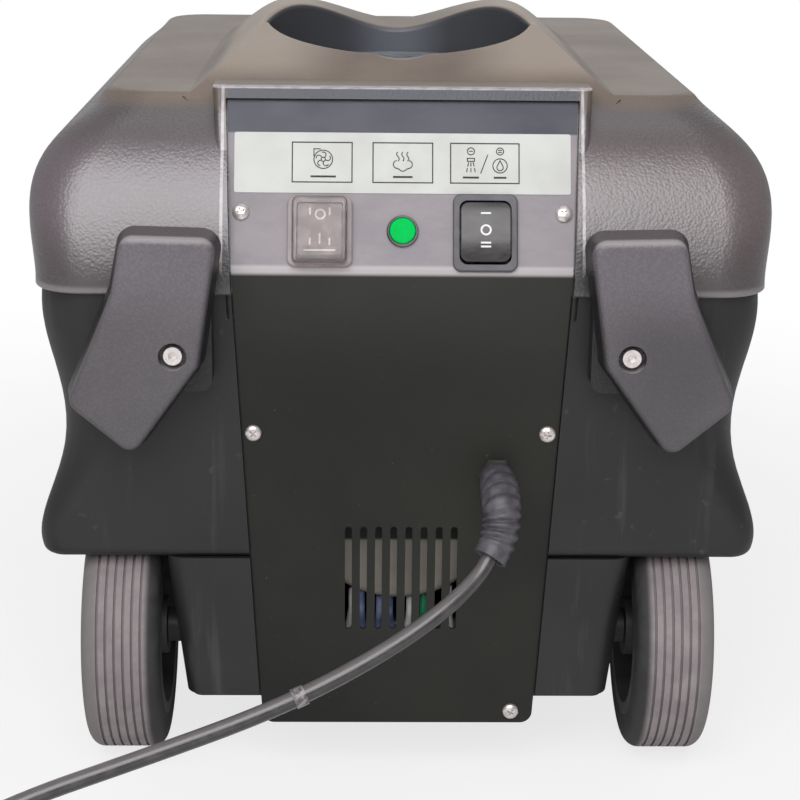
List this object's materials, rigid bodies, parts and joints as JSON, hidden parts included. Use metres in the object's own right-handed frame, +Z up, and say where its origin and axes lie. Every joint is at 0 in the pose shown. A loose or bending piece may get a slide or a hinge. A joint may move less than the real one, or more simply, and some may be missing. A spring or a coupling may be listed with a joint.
{
  "type": "carpet cleaner machine",
  "caption": "Portable carpet cleaner with a black moulded tank body on rear wheels and swivel castors, a rear panel with rocker switches, vent, cord hooks and power cord.",
  "frame": {"origin": "on the floor, under the middle of the machine without its cord", "axes": "+Z up, -Y towards the control panel at the rear, +X to the right seen from behind the panel"},
  "size_m": [0.5442, 0.6444, 0.3655],
  "materials": {
    "body_plastic": "grained moulded polyethylene",
    "housing_plastic": "smooth moulded plastic",
    "panel_paint": "satin powder coat",
    "tray_paint": "powder coat",
    "zinc": "bright zinc",
    "label": "printed film",
    "switch_black": "satin",
    "rocker_grey": "satin",
    "rocker_black": "gloss",
    "clear": "clear plastic",
    "green": "gloss",
    "hook_plastic": "leather grain",
    "sleeve_rubber": "satin",
    "cord_rubber": "semi-gloss",
    "tape": "shiny tape",
    "pin_brass": "plated",
    "steel": "turned",
    "hub_plastic": "satin",
    "tyre_grey": "ribbed non-marking rubber",
    "castor_tread": "satin",
    "nylon": "natural nylon",
    "motor_grey": "painted",
    "motor_steel": "bare",
    "fan_alu": "spun",
    "pump_black": "moulded",
    "heater_alu": "cast",
    "terminal_white": "moulded",
    "wire_white": "insulation",
    "wire_blue": "insulation",
    "wire_green": "insulation",
    "seal_rubber": "matte",
    "pipe_grey": "moulded",
    "coupler_brass": "machined"
  },
  "bodies": {
    "machine": {"tank_body": "body_plastic", "base_housing": "housing_plastic", "base_tray": "tray_paint", "tray_screws": "zinc", "rear_panel": "panel_paint", "panel_screws": "zinc", "label_plate": "label", "vacuum_switch_frame": "switch_black", "vacuum_switch_cover": "clear", "pump_switch_frame": "switch_black", "steam_button_ring": "switch_black", "cord_hook_left": "hook_plastic", "cord_hook_right": "hook_plastic", "hook_bolts": "zinc", "wheel_axle": "steel", "axle_bushes": "nylon", "axle_caps": "hub_plastic", "castor_plates": "zinc", "castor_bolts": "zinc", "cord_gland": "sleeve_rubber", "gland_lock_nut": "switch_black", "bend_sleeve": "sleeve_rubber", "power_cord": "cord_rubber", "cord_tape_ring": "tape", "cord_coil": "cord_rubber", "coil_tie": "tape", "plug_body": "cord_rubber", "plug_pins": "pin_brass", "motor_end_cap": "motor_grey", "motor_body": "motor_steel", "fan_housing": "fan_alu", "motor_cradle": "tray_paint", "pump_unit": "pump_black", "heater_block": "heater_alu", "terminal_block": "terminal_white", "wire_white": "wire_white", "wire_blue": "wire_blue", "wire_green": "wire_green", "lid_seal": "seal_rubber", "suction_standpipe": "pipe_grey", "inlet_strainer": "pipe_grey", "filler_gasket": "seal_rubber", "hose_port": "pipe_grey", "solution_coupler": "coupler_brass"},
    "left_wheel": {"wheel_hub_left": "hub_plastic", "tyre_left": "tyre_grey"},
    "right_wheel": {"wheel_hub_right": "hub_plastic", "tyre_right": "tyre_grey"},
    "left_castor": {"castor_fork_left": "zinc", "castor_axle_left": "steel"},
    "right_castor": {"castor_fork_right": "zinc", "castor_axle_right": "steel"},
    "left_castor_wheel": {"castor_wheel_left": "castor_tread"},
    "right_castor_wheel": {"castor_wheel_right": "castor_tread"},
    "vacuum_rocker": {"vacuum_rocker": "rocker_grey"},
    "pump_rocker": {"pump_rocker": "rocker_black"},
    "steam_button": {"steam_button": "green"},
    "recovery_lid": {"recovery_lid": "clear"},
    "filler_cap": {"filler_cap": "hub_plastic"},
    "drain_plug": {"drain_plug": "hub_plastic"}
  },
  "joints": [
    {"name": "left_wheel_spin", "type": "hinge", "parent": "machine", "child": "left_wheel", "pos_m": [-0.137, -0.17, 0.0625], "axis": [1, 0, 0], "continuous": true},
    {"name": "left_castor_swivel", "type": "hinge", "parent": "machine", "child": "left_castor", "pos_m": [-0.122, 0.172, 0.107], "axis": [0, 0, 1], "continuous": true},
    {"name": "left_castor_spin", "type": "hinge", "parent": "left_castor", "child": "left_castor_wheel", "pos_m": [-0.122, 0.144, 0.0375], "axis": [1, 0, 0], "continuous": true},
    {"name": "right_wheel_spin", "type": "hinge", "parent": "machine", "child": "right_wheel", "pos_m": [0.137, -0.17, 0.0625], "axis": [1, 0, 0], "continuous": true},
    {"name": "right_castor_swivel", "type": "hinge", "parent": "machine", "child": "right_castor", "pos_m": [0.122, 0.172, 0.107], "axis": [0, 0, 1], "continuous": true},
    {"name": "right_castor_spin", "type": "hinge", "parent": "right_castor", "child": "right_castor_wheel", "pos_m": [0.122, 0.144, 0.0375], "axis": [1, 0, 0], "continuous": true},
    {"name": "vacuum_rocker_tilt", "type": "hinge", "parent": "machine", "child": "vacuum_rocker", "pos_m": [-0.039, -0.20492, 0.27714], "axis": [1, 0, 0], "range_deg": [0, 18]},
    {"name": "pump_rocker_tilt", "type": "hinge", "parent": "machine", "child": "pump_rocker", "pos_m": [0.039, -0.20492, 0.27714], "axis": [1, 0, 0], "range_deg": [-9, 9]},
    {"name": "steam_button_push", "type": "slide", "parent": "machine", "child": "steam_button", "axis": [0, 0.9272, -0.3746], "range_m": [0, 0.0025], "stiffness_N_per_m": 500, "springref_m": -0.001},
    {"name": "recovery_lid_lift", "type": "slide", "parent": "machine", "child": "recovery_lid", "axis": [0, 0, 1], "range_m": [0, 0.1]},
    {"name": "filler_cap_lift", "type": "slide", "parent": "machine", "child": "filler_cap", "axis": [0, 0, 1], "range_m": [0, 0.05]},
    {"name": "drain_plug_pull", "type": "slide", "parent": "machine", "child": "drain_plug", "axis": [0, 1, 0], "range_m": [0, 0.04]}
  ]
}
